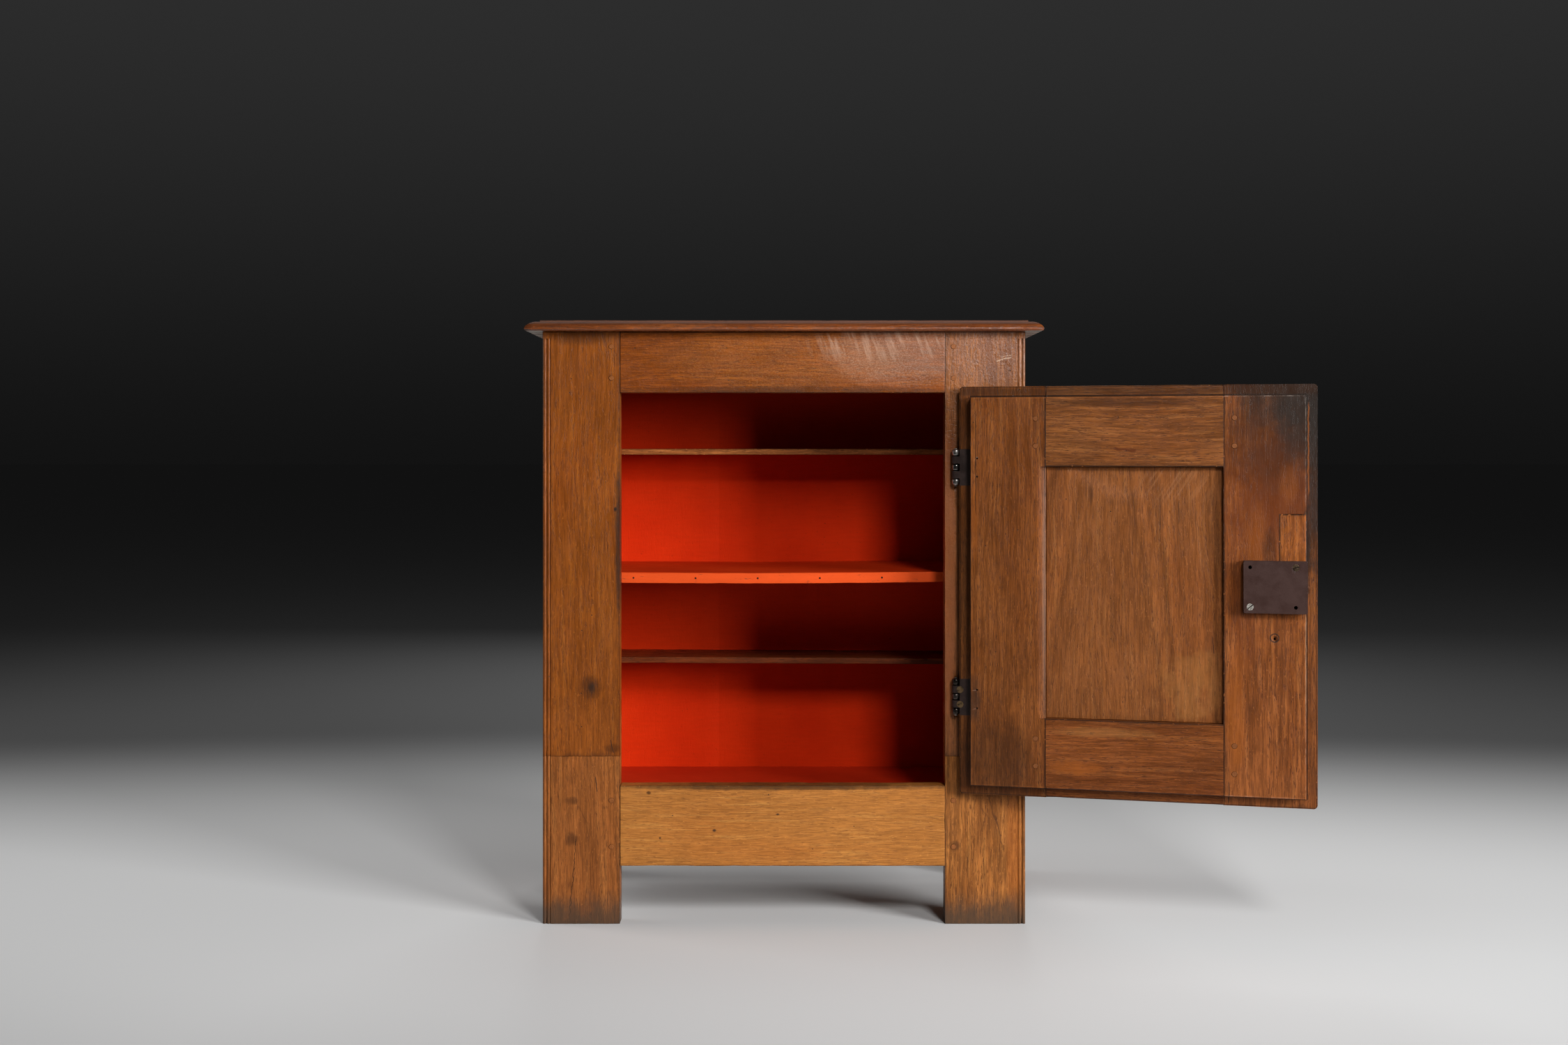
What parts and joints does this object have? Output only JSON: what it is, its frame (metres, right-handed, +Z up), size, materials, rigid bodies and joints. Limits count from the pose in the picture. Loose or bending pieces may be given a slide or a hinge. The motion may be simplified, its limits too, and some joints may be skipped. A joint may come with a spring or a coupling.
{
  "type": "small one-door cabinet",
  "caption": "Small frame-and-panel oak cabinet on square feet, with a moulded top, a lipped locking door on pin hinges and a painted, shelved inside.",
  "frame": {"origin": "lower left front corner of the carcass, at the corner of the left front foot's sole, on the floor", "axes": "+X to the right along the front, as seen from the front; +Y from the front to the back; +Z up"},
  "size_m": [1.1422, 0.4752, 0.9],
  "materials": {
    "oak": "old waxed oak",
    "painted_wood": "old red-orange paint",
    "plain_wood": "bare brown wood",
    "iron": "dark worn iron",
    "steel": "bright steel",
    "brass": "dull brass"
  },
  "bodies": {
    "carcass": {"back_board_1": "painted_wood", "back_board_2": "painted_wood", "back_board_3": "painted_wood", "back_nails": "iron", "floor_cleats": "plain_wood", "floor_front_board": "painted_wood", "floor_rear_board": "painted_wood", "frame_leaf_nails": "iron", "front_bottom_rail": "oak", "front_frame_pegs": "oak", "front_top_rail": "oak", "hinge_pins": "iron", "left_front_foot": "oak", "left_front_stile": "oak", "left_rear_post": "oak", "left_side_bottom_rail": "oak", "left_side_panel": "oak", "left_side_top_rail": "oak", "lower_hinge_frame_leaf": "iron", "lower_shelf": "plain_wood", "lower_shelf_cleats": "plain_wood", "middle_shelf": "painted_wood", "middle_shelf_cleats": "plain_wood", "middle_shelf_edging": "painted_wood", "rear_bottom_rail": "plain_wood", "rear_top_rail": "plain_wood", "right_front_foot": "oak", "right_front_stile": "oak", "right_rear_post": "oak", "right_side_bottom_rail": "oak", "right_side_panel": "oak", "right_side_top_rail": "oak", "shelf_nails": "iron", "side_and_rear_pegs": "oak", "top_front_board": "oak", "top_pegs": "oak", "top_rear_board": "oak", "upper_hinge_frame_leaf": "iron", "upper_shelf": "plain_wood", "upper_shelf_cleats": "plain_wood"},
    "door": {"door_hinge_stile": "oak", "door_lock_stile": "oak", "door_top_rail": "oak", "door_bottom_rail": "oak", "door_panel": "oak", "door_pegs": "oak", "door_patch": "oak", "upper_hinge_door_leaf": "iron", "lower_hinge_door_leaf": "iron", "door_leaf_nails": "iron", "lower_hinge_brazing": "brass", "lock_case": "iron", "lock_cover": "iron", "lock_new_screw": "steel", "lock_old_screw": "iron", "escutcheon": "iron", "escutcheon_pins": "iron"},
    "lock_bolt": {"lock_bolt": "iron", "lock_spring": "steel"}
  },
  "joints": [
    {"name": "door_hinge", "type": "hinge", "parent": "carcass", "child": "door", "pos_m": [0.6155, -0.0066, 0.5], "axis": [0, 0, 1], "range_deg": [-167.2, 10.8]},
    {"name": "bolt_slide", "type": "slide", "parent": "door", "child": "lock_bolt", "axis": [0.9751, -0.2215, 0], "range_m": [0, 0.01]}
  ]
}
